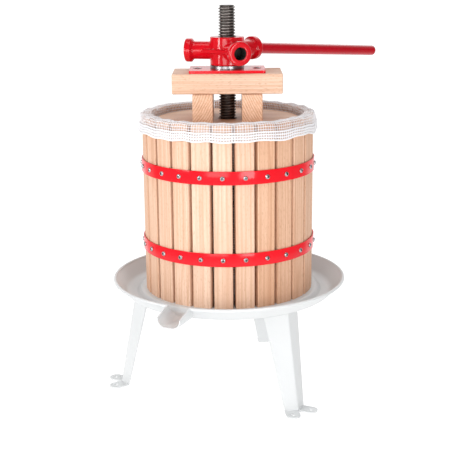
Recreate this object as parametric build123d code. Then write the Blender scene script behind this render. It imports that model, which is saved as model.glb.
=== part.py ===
from build123d import *
from math import atan, cos, degrees, radians, sin, sqrt
import os

# A hand-turned basket press for grapes and soft fruit, of about twelve litres.
# A slatted beech basket stands on an enamelled tray with a pouring spout and three folded legs.
# A threaded spindle rises from the tray through the basket. A cast hub runs down its thread,
# turned by a bar in one of three sockets, and drives a crossbeam, two blocks and a split disc.
# Lengths are millimetres. The floor is z = 0 and the spindle's axis is x = y = 0.
# The spout points to -Y, and angles about the spindle are degrees from -Y towards +X.

# Tray
TRAY_SHEET = 1.5
SEAT_Z = 149.5
SEAT_R = 130.0
CHANNEL_Z = 143.5
CHANNEL_INNER_R = 136.0
CHANNEL_OUTER_R = 150.0
RIM_R = 171.2
RIM_Z = 164.5
RIM_BEAD_R = 2.3
SPOUT_WIDTH = 32.0
SPOUT_CORNER_R = 11.0
SPOUT_TIP_R = 199.0
SPOUT_TIP_Z = 156.0

# Legs
LEG_ANGLES = {"leg_right": 60.0, "leg_left": -60.0, "leg_back": 180.0}
LEG_SHEET = 2.0
LEG_TOP_R = 140.1
LEG_FOOT_R = 165.5
LEG_TOP_WIDTH = 35.5
LEG_FOOT_WIDTH = 20.0
LEG_FOLD_HALF_ANGLE = 60.0
LEG_FOLD_R = 4.0
LEG_EAR_WIDTH = 8.0
LEG_FLANGE_INNER_R = 80.0
LEG_FLANGE_HALF_WIDTH = 24.0
FOOT_TAB_LENGTH = 24.0
FOOT_HOLE_REACH = 14.5
FOOT_HOLE_D = 6.5
LEG_BOLT_R = 91.0
LEG_BOLT_HALF_SPACING = 15.0
LEG_BOLT_D = 6.0
LEG_BOLT_HEAD_D = 12.0
LEG_BOLT_HEAD_H = 3.2
LEG_NUT_FLATS = 10.0
LEG_NUT_H = 5.0

# Spindle and what fastens it to the tray
SPINDLE_D = 24.0
SPINDLE_TOP_Z = 557.0
SPINDLE_FOOT_Z = 124.0
SPINDLE_CHAMFER = 2.0
SPINDLE_NUT_FLATS = 36.0
LOWER_NUT_H = 14.0
UPPER_NUT_H = 12.0
SPREADER_D = 92.0
SPREADER_H = 4.0
SPINDLE_WASHER_D = 44.0
SPINDLE_WASHER_H = 3.0
SPINDLE_HOLE_CLEARANCE = 0.05

# Basket
SLAT_COUNT = 25
SLAT_FIRST_ANGLE = 20.56
SLAT_WIDTH = 26.0
SLAT_DEPTH = 13.0
SLAT_FACE_R = 122.3
SLAT_TOP_Z = 406.0
SLAT_EDGE_R = 1.5
HOOP_OUTER_R = 125.0
HOOP_SHEET = 1.8
HOOP_HEIGHT = 18.6
HOOP_MID_Z = {"hoop_top": 334.5, "hoop_bottom": 220.0}
HOOP_SCREW_D = 3.6
HOOP_SCREW_LENGTH = 11.0
HOOP_SCREW_HEAD_D = 6.6
HOOP_SCREW_HEAD_H = 2.2

# Filter bag
BAG_CLOTH = 1.2
BAG_CUFF_R = 127.0
BAG_CUFF_HEM_Z = 383.5
BAG_TOP_Z = 407.7
BAG_LINING_R = 108.5
BAG_FLOOR_Z = 154.2
BAG_FLOOR_HOLE_R = 26.0
BAG_FOLD_R = 3.0

# Press stack: split disc, blocks, crossbeam, bearing plate and thrust washer
STACK_TURN = 24.0
DISC_D = 208.0
DISC_TOP_Z = 397.8
DISC_H = 19.0
DISC_SPLIT = 1.0
DISC_HOLE_D = 27.6
BLOCK_WIDTH = 28.5
BLOCK_LENGTH = 100.0
BLOCK_CENTRE = 34.6
BEAM_LENGTH = 155.0
BEAM_DEPTH = 80.0
BEAM_BOTTOM_Z = 437.0
BEAM_H = 28.0
BEAM_HOLE_D = 27.0
WOOD_EDGE_R = 1.2
PLATE_LENGTH = 107.0
PLATE_DEPTH = 70.0
PLATE_H = 4.0
PLATE_CORNER_R = 3.0
PLATE_SCREW_OFFSET = 42.0
PLATE_SCREW_D = 4.5
PLATE_SCREW_HEAD_D = 9.0
PLATE_SCREW_LENGTH = 22.0
WASHER_D = 48.2
WASHER_H = 5.0

# Hub and handle bar
HUB_D = 48.4
HUB_H = 39.5
HUB_BORE_CLEARANCE = 0.05
ARM_ANGLES = (42.0, 162.0, -78.0)
ARM_MID_H = 20.0
ARM_D = 25.2
ARM_END_R = 60.0
ARM_FLANGE_D = 33.4
ARM_FLANGE_LENGTH = 9.0
SOCKET_D = 17.6
SOCKET_DEPTH = 26.0
FIN_H = 5.0
FIN_MID_R = 28.0
BAR_D = 16.0
BAR_LENGTH = 318.0
BAR_INSERTION = 18.0
BAR_TOUCH_GAP = 0.03
BAR_END_R = 4.0

# Heights that follow from the parts stacked on one another
SEAT_BOTTOM_Z = SEAT_Z - TRAY_SHEET
CHANNEL_BOTTOM_Z = CHANNEL_Z - TRAY_SHEET
PLATE_BOTTOM_Z = BEAM_BOTTOM_Z + BEAM_H
WASHER_BOTTOM_Z = PLATE_BOTTOM_Z + PLATE_H
HUB_BOTTOM_Z = WASHER_BOTTOM_Z + WASHER_H
ARM_MID_Z = HUB_BOTTOM_Z + ARM_MID_H
FIXED_BORE_R = SPINDLE_D / 2 + SPINDLE_HOLE_CLEARANCE


def outward(radius, side, z):
    """A point for a piece that is modelled towards -Y, side being the distance towards +X."""
    return Vector(side, -radius, z)


def turned(shape, angle):
    """A shape that was modelled towards -Y, turned about the spindle to its angle."""
    return Rot(0, 0, angle) * shape


def disc(radius, low, high):
    """A cylinder on the spindle's axis between two heights."""
    return Pos(0, 0, low) * Cylinder(radius, high - low, align=(Align.CENTER, Align.CENTER, Align.MIN))


def slab(length, depth, low, high):
    """A box centred on the spindle's axis between two heights."""
    return Pos(0, 0, low) * Box(length, depth, high - low, align=(Align.CENTER, Align.CENTER, Align.MIN))


def rod(radius, start, end):
    """A cylinder from one point to another."""
    line = end - start
    base = Plane(origin=start, z_dir=line)
    return base * Cylinder(radius, line.length, align=(Align.CENTER, Align.CENTER, Align.MIN))


def hex_nut(flats, low, height, bore_r):
    """A hexagon nut on the spindle's axis with its corners chamfered."""
    blank = extrude(Pos(0, 0, low) * RegularPolygon(flats / 2, 6, major_radius=False), height)
    corner_r = flats / sqrt(3)
    cone = Pos(0, 0, low) * Cone(corner_r + height, corner_r - 0.4, height,
                                 align=(Align.CENTER, Align.CENTER, Align.MIN))
    return blank & cone - disc(bore_r, low - 1, low + height + 1)


def revolved(outline):
    """A solid of revolution about the spindle's axis from a closed outline in the XZ plane."""
    return revolve(make_face(outline), Axis.Z)


# Tray ------------------------------------------------------------------------------------------

def tray_line(drop):
    """The tray's profile from the centre out to the rim, lowered by the sheet for its underside."""
    wall_out = drop * 0.72
    wall_down = drop * 0.69
    points = [
        (0, SEAT_Z - drop),
        (SEAT_R - 0.4 * drop, SEAT_Z - drop),
        (CHANNEL_INNER_R - 0.4 * drop, CHANNEL_Z - drop),
        (CHANNEL_OUTER_R + 0.3 * drop, CHANNEL_Z - drop),
        (RIM_R - 2 * RIM_BEAD_R + wall_out, RIM_Z - RIM_BEAD_R - wall_down),
    ]
    return [(x, 0, z) for x, z in points]


def tray_surface(drop):
    """The same profile with its corners rounded."""
    radii = [5.0 - drop, 3.0 + drop, 12.0 + drop]
    return FilletPolyline(*tray_line(drop), radius=radii)


def dish_space():
    """Everything above the tray's inner surface, inside the rim."""
    top = tray_line(0)
    high = SEAT_Z + 40
    closing = Polyline(top[-1], (top[-1][0], 0, high), (0, 0, high), top[0])
    return revolved([tray_surface(0), closing])


def trough(width, corner_r, floor_z, start_r):
    """The spout's U section, run outwards past its tip."""
    half = width / 2
    high = SEAT_Z + 30
    outline = FilletPolyline((-half, 0, high), (-half, 0, floor_z), (half, 0, floor_z), (half, 0, high),
                             radius=corner_r)
    section = make_face([outline, Line((half, 0, high), (-half, 0, high))])
    return Pos(0, -start_r, 0) * extrude(section, SPOUT_TIP_R - start_r, dir=(0, -1, 0))


def spout():
    """The open trough that leads the juice over the rim, its sides falling towards the tip."""
    start_r = CHANNEL_OUTER_R
    outer = trough(SPOUT_WIDTH + 2 * TRAY_SHEET, SPOUT_CORNER_R + TRAY_SHEET, CHANNEL_BOTTOM_Z, start_r)
    inner = trough(SPOUT_WIDTH, SPOUT_CORNER_R, CHANNEL_Z, start_r)
    root_z = RIM_Z - 0.5
    above = make_face(Polyline((0, -start_r, root_z), (0, -RIM_R, root_z), (0, -SPOUT_TIP_R, SPOUT_TIP_Z),
                               (0, -SPOUT_TIP_R, root_z + 40), (0, -start_r, root_z + 40), close=True))
    cutter = extrude(above, SPOUT_WIDTH, both=True)
    return outer - inner - cutter - dish_space()


def tray():
    """The pressed dish: a raised seat, a juice channel round it, a beaded rim and the spout."""
    top, bottom = tray_line(0), tray_line(TRAY_SHEET)
    dish = revolved([tray_surface(0), Line(top[-1], bottom[-1]), tray_surface(TRAY_SHEET),
                     Line(bottom[0], top[0])])
    bead_r = RIM_R - RIM_BEAD_R
    dish += Pos(0, 0, RIM_Z - RIM_BEAD_R) * Torus(bead_r, RIM_BEAD_R)
    dish -= trough(SPOUT_WIDTH, SPOUT_CORNER_R, CHANNEL_Z, CHANNEL_INNER_R)
    dish += spout()
    dish -= disc(FIXED_BORE_R, SEAT_BOTTOM_Z - 1, SEAT_Z + 1)
    for hole in leg_bolt_holes(LEG_BOLT_D / 2 + 0.3, SEAT_BOTTOM_Z - 1, SEAT_Z + 1):
        dish -= hole
    return dish


# Legs ------------------------------------------------------------------------------------------

def leg_fold_radius(z):
    """The distance of a leg's outer fold line from the spindle at a height."""
    share = z / CHANNEL_BOTTOM_Z
    return LEG_FOOT_R + (LEG_TOP_R - LEG_FOOT_R) * share


def leg_point(z, reach, side):
    """A point on a leg's outer face, a reach away from the fold, on one side."""
    back = reach * cos(radians(LEG_FOLD_HALF_ANGLE))
    across = side * reach * sin(radians(LEG_FOLD_HALF_ANGLE))
    return outward(leg_fold_radius(z) - back, across, z)


def leg_face(side):
    """One of the two tapered faces of a leg, with the ear that reaches the seat's underside."""
    ear_start = LEG_TOP_WIDTH - LEG_EAR_WIDTH
    corners = [
        leg_point(0, 0, side),
        leg_point(0, LEG_FOOT_WIDTH, side),
        leg_point(CHANNEL_BOTTOM_Z, LEG_TOP_WIDTH, side),
        leg_point(SEAT_BOTTOM_Z, LEG_TOP_WIDTH, side),
        leg_point(SEAT_BOTTOM_Z, ear_start, side),
        leg_point(CHANNEL_BOTTOM_Z, ear_start, side),
        leg_point(CHANNEL_BOTTOM_Z, 0, side),
    ]
    normal = (corners[1] - corners[0]).cross(corners[6] - corners[0])
    if normal.Y < 0:
        normal = normal * -1
    return extrude(make_face(Polyline(*corners, close=True)), LEG_SHEET, dir=normal)


def foot_tab_direction(side):
    """The level direction in which a face's foot tab points."""
    turn = 90 - LEG_FOLD_HALF_ANGLE
    return outward(cos(radians(turn)), side * sin(radians(turn)), 0)


def foot_hole_centre(side):
    """The middle of a foot tab's hole, on the floor."""
    return leg_point(0, LEG_FOOT_WIDTH / 2, side) + foot_tab_direction(side) * FOOT_HOLE_REACH


def foot_tab(side):
    """The tab that a face turns into at the floor, round-ended, with its bolt hole."""
    root = leg_point(0, LEG_FOOT_WIDTH / 2, side)
    direction = foot_tab_direction(side)
    half = LEG_FOOT_WIDTH / 2
    inset = LEG_SHEET / 2
    shape = Plane(origin=root - direction * inset, x_dir=direction, z_dir=(0, 0, 1))
    length = FOOT_TAB_LENGTH + inset
    straight = shape * Pos(0, 0, 0) * Box(length - half, LEG_FOOT_WIDTH, LEG_SHEET,
                                          align=(Align.MIN, Align.CENTER, Align.MIN))
    end = root + direction * (FOOT_TAB_LENGTH - half)
    return straight + rod(half, end, end + Vector(0, 0, LEG_SHEET))


def leg():
    """A folded leg, pointing to -Y: two faces in a shallow V, foot tabs, and a bolting flange."""
    low = SEAT_BOTTOM_Z - LEG_SHEET
    right = [leg_point(SEAT_BOTTOM_Z, LEG_TOP_WIDTH - LEG_EAR_WIDTH, 1),
             leg_point(SEAT_BOTTOM_Z, LEG_TOP_WIDTH, 1),
             outward(LEG_FLANGE_INNER_R, LEG_FLANGE_HALF_WIDTH, SEAT_BOTTOM_Z)]
    left = [Vector(-p.X, p.Y, p.Z) for p in reversed(right)]
    flange = extrude(make_face(Polyline(*right, *left, close=True)), LEG_SHEET, dir=(0, 0, -1))
    body = leg_face(1) + leg_face(-1)
    fold = body.edges().filter_by(lambda e: abs(e.center().X) < 0.01 and e.length > 100)
    outer_fold = fold.sort_by(Axis.Y)[0]
    body = fillet(outer_fold, LEG_FOLD_R)
    body += flange + foot_tab(1) + foot_tab(-1)
    for side in (1, -1):
        centre = foot_hole_centre(side)
        body -= rod(FOOT_HOLE_D / 2, centre - Vector(0, 0, 1), centre + Vector(0, 0, LEG_SHEET + 1))
        bolt = outward(LEG_BOLT_R, side * LEG_BOLT_HALF_SPACING, low - 1)
        body -= rod(LEG_BOLT_D / 2 + 0.3, bolt, bolt + Vector(0, 0, LEG_SHEET + 2))
    return body - slab(600, 600, -50, 0)


def leg_bolt_places():
    """Where the leg bolts stand, as points at height 0."""
    places = []
    for angle in LEG_ANGLES.values():
        for side in (1, -1):
            places.append(turned(Pos(*outward(LEG_BOLT_R, side * LEG_BOLT_HALF_SPACING, 0)), angle))
    return places


def leg_bolt_holes(radius, low, high):
    """Upright cylinders at every leg bolt."""
    return [place * disc(radius, low, high) for place in leg_bolt_places()]


def leg_bolt():
    """A bolt with a low domed head that stands on the tray's seat."""
    foot = SEAT_BOTTOM_Z - LEG_SHEET - LEG_NUT_H - 3
    head = disc(LEG_BOLT_HEAD_D / 2, SEAT_Z, SEAT_Z + LEG_BOLT_HEAD_H)
    head = fillet(head.edges().group_by(Axis.Z)[-1], LEG_BOLT_HEAD_H * 0.8)
    return head + disc(LEG_BOLT_D / 2, foot, SEAT_Z)


def leg_nut():
    """The nut under a leg's flange."""
    low = SEAT_BOTTOM_Z - LEG_SHEET - LEG_NUT_H
    return hex_nut(LEG_NUT_FLATS, low, LEG_NUT_H, LEG_BOLT_D / 2 + 0.05)


# Spindle ---------------------------------------------------------------------------------------

def spindle():
    """The spindle at the thread's outer diameter, its two ends chamfered."""
    shaft = disc(SPINDLE_D / 2, SPINDLE_FOOT_Z, SPINDLE_TOP_Z)
    return chamfer(shaft.edges().filter_by(GeomType.CIRCLE), SPINDLE_CHAMFER)


def ring(outer_r, inner_r, low, high):
    """A flat ring with lightly broken outer edges."""
    blank = disc(outer_r, low, high)
    blank = chamfer(blank.edges().filter_by(GeomType.CIRCLE), 0.4)
    return blank - disc(inner_r, low - 1, high + 1)


# Basket ----------------------------------------------------------------------------------------

def slat():
    """A slat standing towards -Y, with a pilot hole behind each hoop."""
    height = SLAT_TOP_Z - SEAT_Z
    blank = Box(SLAT_WIDTH, SLAT_DEPTH, height, align=(Align.CENTER, Align.MIN, Align.MIN))
    blank = fillet(blank.edges().filter_by(Axis.Z), SLAT_EDGE_R)
    blank = Pos(0, -SLAT_FACE_R, SEAT_Z) * blank
    for z in HOOP_MID_Z.values():
        front = outward(SLAT_FACE_R + 1, 0, z)
        blank -= rod(HOOP_SCREW_D / 2, front, outward(SLAT_FACE_R - SLAT_DEPTH - 1, 0, z))
    return blank


def slat_angle(number):
    """The angle of a slat, counted from 0."""
    return SLAT_FIRST_ANGLE + 360 / SLAT_COUNT * number


def hoop(mid_z):
    """A hoop of flat steel, drilled at every slat."""
    low, high = mid_z - HOOP_HEIGHT / 2, mid_z + HOOP_HEIGHT / 2
    band = disc(HOOP_OUTER_R, low, high) - disc(HOOP_OUTER_R - HOOP_SHEET, low - 1, high + 1)
    hole = rod(HOOP_SCREW_D / 2 + 0.1, outward(HOOP_OUTER_R + 1, 0, mid_z),
               outward(HOOP_OUTER_R - HOOP_SHEET - 1, 0, mid_z))
    for number in range(SLAT_COUNT):
        band -= turned(hole, slat_angle(number))
    return band


def hoop_screw(mid_z):
    """A pan-head screw through a hoop into a slat."""
    seat_r = HOOP_OUTER_R + 0.05
    head = rod(HOOP_SCREW_HEAD_D / 2, outward(seat_r, 0, mid_z),
               outward(seat_r + HOOP_SCREW_HEAD_H, 0, mid_z))
    head = fillet(head.edges().group_by(Axis.Y)[0], HOOP_SCREW_HEAD_H * 0.7)
    shank = rod(HOOP_SCREW_D / 2 - 0.05, outward(seat_r, 0, mid_z),
                outward(seat_r - HOOP_SCREW_LENGTH, 0, mid_z))
    return head + shank


def filter_bag():
    """The bag's outer shape: a cuff over the slats' tops, a lining, and a floor with a hole."""
    inner_r = BAG_LINING_R - BAG_CLOTH
    top_inside = BAG_TOP_Z - BAG_CLOTH
    outside = FilletPolyline((BAG_CUFF_R, 0, BAG_CUFF_HEM_Z), (BAG_CUFF_R, 0, BAG_TOP_Z),
                             (inner_r, 0, BAG_TOP_Z), (inner_r, 0, BAG_FLOOR_Z + BAG_CLOTH),
                             (BAG_FLOOR_HOLE_R, 0, BAG_FLOOR_Z + BAG_CLOTH),
                             radius=BAG_FOLD_R)
    inside = FilletPolyline((BAG_FLOOR_HOLE_R, 0, BAG_FLOOR_Z), (BAG_LINING_R, 0, BAG_FLOOR_Z),
                            (BAG_LINING_R, 0, top_inside), (BAG_CUFF_R - BAG_CLOTH, 0, top_inside),
                            (BAG_CUFF_R - BAG_CLOTH, 0, BAG_CUFF_HEM_Z),
                            radius=[BAG_FOLD_R + BAG_CLOTH, BAG_FOLD_R - BAG_CLOTH, BAG_FOLD_R - BAG_CLOTH])
    return revolved([outside, Line(outside @ 1, inside @ 0), inside, Line(inside @ 1, outside @ 0)])


# Press stack -----------------------------------------------------------------------------------

def press_disc_half(side):
    """Half of the disc that bears on the fruit: side is -1 for the front half and 1 for the back."""
    low = DISC_TOP_Z - DISC_H
    whole = disc(DISC_D / 2, low, DISC_TOP_Z)
    whole = fillet(whole.edges().filter_by(GeomType.CIRCLE), WOOD_EDGE_R)
    whole -= disc(DISC_HOLE_D / 2, low - 1, DISC_TOP_Z + 1)
    keep = Pos(0, side * (DISC_D + DISC_SPLIT) / 2, 0) * slab(DISC_D + 2, DISC_D, low - 1, DISC_TOP_Z + 1)
    return turned(whole & keep, STACK_TURN)


def block(side):
    """A spacer block between the disc and the crossbeam."""
    blank = slab(BLOCK_WIDTH, BLOCK_LENGTH, DISC_TOP_Z, BEAM_BOTTOM_Z)
    blank = fillet(blank.edges(), WOOD_EDGE_R)
    return turned(Pos(side * BLOCK_CENTRE, 0, 0) * blank, STACK_TURN)


def crossbeam():
    """The beam that carries the bearing plate, bored for the spindle."""
    blank = slab(BEAM_LENGTH, BEAM_DEPTH, BEAM_BOTTOM_Z, PLATE_BOTTOM_Z)
    blank = fillet(blank.edges(), WOOD_EDGE_R * 1.5)
    blank -= disc(BEAM_HOLE_D / 2, BEAM_BOTTOM_Z - 1, PLATE_BOTTOM_Z + 1)
    pilot = disc(PLATE_SCREW_D / 2, WASHER_BOTTOM_Z - PLATE_SCREW_LENGTH - 1, PLATE_BOTTOM_Z + 1)
    for x in (-PLATE_SCREW_OFFSET, PLATE_SCREW_OFFSET):
        blank -= Pos(x, 0, 0) * pilot
    return turned(blank, STACK_TURN)


def plate_screw():
    """A countersunk screw, flush with the bearing plate."""
    head_r, shank_r = PLATE_SCREW_HEAD_D / 2, PLATE_SCREW_D / 2 - 0.05
    head_h = head_r - shank_r
    head = Pos(0, 0, WASHER_BOTTOM_Z - head_h) * Cone(shank_r, head_r, head_h,
                                                      align=(Align.CENTER, Align.CENTER, Align.MIN))
    return head + disc(shank_r, WASHER_BOTTOM_Z - PLATE_SCREW_LENGTH, WASHER_BOTTOM_Z - head_h)


def plate_screws():
    """The two screws of the bearing plate."""
    screws = [Pos(x, 0, 0) * plate_screw() for x in (-PLATE_SCREW_OFFSET, PLATE_SCREW_OFFSET)]
    return [turned(screw, STACK_TURN) for screw in screws]


def bearing_plate():
    """The steel plate on the crossbeam, countersunk for its two screws."""
    blank = slab(PLATE_LENGTH, PLATE_DEPTH, PLATE_BOTTOM_Z, WASHER_BOTTOM_Z)
    blank = fillet(blank.edges().filter_by(Axis.Z), PLATE_CORNER_R)
    blank -= disc(BEAM_HOLE_D / 2, PLATE_BOTTOM_Z - 1, WASHER_BOTTOM_Z + 1)
    sink_top_r = PLATE_SCREW_HEAD_D / 2 + 0.05
    sink_h = sink_top_r - PLATE_SCREW_D / 2
    sink = Cone(PLATE_SCREW_D / 2, sink_top_r, sink_h, align=(Align.CENTER, Align.CENTER, Align.MIN))
    hole = disc(PLATE_SCREW_D / 2, PLATE_BOTTOM_Z - 1, WASHER_BOTTOM_Z + 1)
    hole += Pos(0, 0, WASHER_BOTTOM_Z - sink_h) * sink
    for x in (-PLATE_SCREW_OFFSET, PLATE_SCREW_OFFSET):
        blank -= Pos(x, 0, 0) * hole
    return turned(blank, STACK_TURN)


# Hub and handle bar ----------------------------------------------------------------------------

def hub_arm():
    """One arm of the hub, pointing to -Y, with the flange round its mouth."""
    body_r, flange_r = ARM_D / 2, ARM_FLANGE_D / 2
    start = HUB_D / 4
    neck = ARM_END_R - ARM_FLANGE_LENGTH
    outline = FilletPolyline((0, 0, start), (body_r, 0, start), (body_r, 0, neck - 3), (flange_r, 0, neck),
                             (flange_r, 0, ARM_END_R), (0, 0, ARM_END_R),
                             radius=[0.5, 3.0, 1.5, 2.4])
    arm = revolved([outline, Line((0, 0, ARM_END_R), (0, 0, start))])
    return Pos(0, 0, ARM_MID_Z) * Rot(90, 0, 0) * arm


def socket():
    """The blind hole that an arm's bar goes into, pointing to -Y."""
    bottom = outward(ARM_END_R - SOCKET_DEPTH, 0, ARM_MID_Z)
    return rod(SOCKET_D / 2, bottom, outward(ARM_END_R + 1, 0, ARM_MID_Z))


def hub():
    """The cast nut: a boss on the spindle's thread, three socket arms, and fins between them."""
    boss = disc(HUB_D / 2, HUB_BOTTOM_Z, HUB_BOTTOM_Z + HUB_H)
    casting = fillet(boss.edges().filter_by(GeomType.CIRCLE), 1.2)
    fins = Pos(0, 0, ARM_MID_Z - FIN_H / 2) * extrude(RegularPolygon(FIN_MID_R, 3, major_radius=False), FIN_H)
    casting += turned(fins, ARM_ANGLES[0] - 90)
    for angle in ARM_ANGLES:
        casting += turned(hub_arm(), angle)
    for angle in ARM_ANGLES:
        casting -= turned(socket(), angle)
    return casting - disc(SPINDLE_D / 2 + HUB_BORE_CLEARANCE, HUB_BOTTOM_Z - 1, HUB_BOTTOM_Z + HUB_H + 1)


def bar_droop():
    """The angle at which the loose bar hangs, touching the socket at its mouth and at its own end."""
    play = SOCKET_D - BAR_D - 4 * BAR_TOUCH_GAP
    return degrees(atan(play / BAR_INSERTION))


def handle_bar():
    """The bar in the second arm's socket, drooping by the play that it has there."""
    droop = radians(bar_droop())
    middle = Vector(0, -(ARM_END_R - BAR_INSERTION / 2), ARM_MID_Z)
    direction = Vector(0, -cos(droop), -sin(droop))
    start = middle - direction * (BAR_INSERTION / 2)
    bar = rod(BAR_D / 2, start, start + direction * BAR_LENGTH)
    rims = bar.edges().filter_by(GeomType.CIRCLE).sort_by(Axis.Y)
    bar = fillet(rims[0], BAR_END_R)
    bar = chamfer(bar.edges().filter_by(GeomType.CIRCLE).sort_by(Axis.Y)[-1], 0.8)
    return turned(bar, ARM_ANGLES[1])


# Writing the nodes -----------------------------------------------------------------------------

def write(name, shape):
    """Writes one node, made of one solid or of a group of separate solids."""
    solids = shape if isinstance(shape, list) else shape.solids()
    node = solids[0] if len(solids) == 1 else Compound(children=list(solids))
    export_step(node, f"parts/{name}.step")


def write_stand():
    """The tray, its legs and the spindle."""
    write("tray", tray())
    one_leg = leg()
    for name, angle in LEG_ANGLES.items():
        write(name, turned(one_leg, angle))
    write("leg_bolts", [place * leg_bolt() for place in leg_bolt_places()])
    write("leg_nuts", [place * leg_nut() for place in leg_bolt_places()])
    write("spindle", spindle())
    spreader_low = SEAT_BOTTOM_Z - SPREADER_H
    write("spreader_plate", ring(SPREADER_D / 2, FIXED_BORE_R, spreader_low, SEAT_BOTTOM_Z))
    lower_nut_low = spreader_low - LOWER_NUT_H
    write("spindle_lower_nut", hex_nut(SPINDLE_NUT_FLATS, lower_nut_low, LOWER_NUT_H, FIXED_BORE_R))
    washer_top = SEAT_Z + SPINDLE_WASHER_H
    write("spindle_washer", ring(SPINDLE_WASHER_D / 2, FIXED_BORE_R, SEAT_Z, washer_top))
    write("spindle_upper_nut", hex_nut(SPINDLE_NUT_FLATS, washer_top, UPPER_NUT_H, FIXED_BORE_R))


def write_basket():
    """The slats, hoops, screws and filter bag."""
    one_slat = slat()
    for number in range(SLAT_COUNT):
        write(f"slat_{number + 1:02d}", turned(one_slat, slat_angle(number)))
    for name, mid_z in HOOP_MID_Z.items():
        write(name, hoop(mid_z))
        screw = hoop_screw(mid_z)
        write(f"{name}_screws", [turned(screw, slat_angle(number)) for number in range(SLAT_COUNT)])
    write("filter_bag", filter_bag())


def write_press_stack():
    """What the hub pushes down: disc, blocks, crossbeam, plate and washer."""
    write("press_disc_front", press_disc_half(-1))
    write("press_disc_back", press_disc_half(1))
    write("block_left", block(-1))
    write("block_right", block(1))
    write("crossbeam", crossbeam())
    write("bearing_plate", bearing_plate())
    write("plate_screws", plate_screws())
    write("thrust_washer", ring(WASHER_D / 2, SPINDLE_D / 2 + 0.5, WASHER_BOTTOM_Z, HUB_BOTTOM_Z))


def main():
    os.makedirs("parts", exist_ok=True)
    write_stand()
    write_basket()
    write_press_stack()
    write("hub", hub())
    write("handle_bar", handle_bar())
    hole = foot_hole_centre(1)
    hole_angle = degrees(atan(hole.X / -hole.Y))
    print("foot holes at radius", round(hole.length, 3), "and", round(hole_angle, 3), "degrees from a leg")
    print("bar droops by", round(bar_droop(), 3), "degrees")


main()
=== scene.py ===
"""Looks of the basket wine press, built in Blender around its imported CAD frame.

Metres throughout, in the CAD's frame: the spindle stands on the Z axis, the floor is z = 0, and the
spout points to -Y. An angle around the spindle is measured from -Y towards +X, as in the part.
"""
import math

import bmesh
import bpy
import numpy as np
from mathutils import Matrix, Vector


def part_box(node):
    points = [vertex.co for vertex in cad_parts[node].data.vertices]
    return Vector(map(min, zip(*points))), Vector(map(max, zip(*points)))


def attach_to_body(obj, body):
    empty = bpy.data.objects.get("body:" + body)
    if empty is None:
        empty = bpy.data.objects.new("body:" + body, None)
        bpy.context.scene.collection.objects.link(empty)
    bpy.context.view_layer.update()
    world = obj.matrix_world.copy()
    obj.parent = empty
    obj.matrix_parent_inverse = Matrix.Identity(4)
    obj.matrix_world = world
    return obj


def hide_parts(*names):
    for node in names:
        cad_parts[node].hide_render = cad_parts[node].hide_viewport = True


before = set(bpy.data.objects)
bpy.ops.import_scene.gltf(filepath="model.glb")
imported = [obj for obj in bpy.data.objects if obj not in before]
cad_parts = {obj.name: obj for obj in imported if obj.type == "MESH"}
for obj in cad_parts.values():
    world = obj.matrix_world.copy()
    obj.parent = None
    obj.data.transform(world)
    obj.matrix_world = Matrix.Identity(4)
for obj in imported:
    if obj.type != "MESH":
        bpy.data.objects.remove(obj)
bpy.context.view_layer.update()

MM = 0.001
TURN = 2 * math.pi
STACK_TURN = 24  # degrees that the press stack, and the camera, stand round from the spout
SLATS = 25
FIRST_SLAT = 20.56  # degrees
FACE_R = 122 * MM  # about where the slats' outer faces lie
ARM_END = 60 * MM  # from the spindle to the mouth of a socket
ARM_Z = 494 * MM  # the height of the sockets
SOCKET_TURNS = (42, 162, -78)  # degrees
SOCKET_DEPTH = 29 * MM  # how far in from its mouth a socket is bare
PLATE_SCREW_OFFSET = 42 * MM
BLOCK_OFFSET = 34.6 * MM


def outward(angle):
    """The level unit vector that points away from the spindle at this angle in degrees."""
    a = math.radians(angle)
    return Vector((math.sin(a), -math.cos(a), 0))


def along(angle):
    """The level unit vector that runs round the spindle, anticlockwise from above, at this angle."""
    a = math.radians(angle)
    return Vector((math.cos(a), math.sin(a), 0))


# ---------------------------------------------------------------- materials


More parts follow.
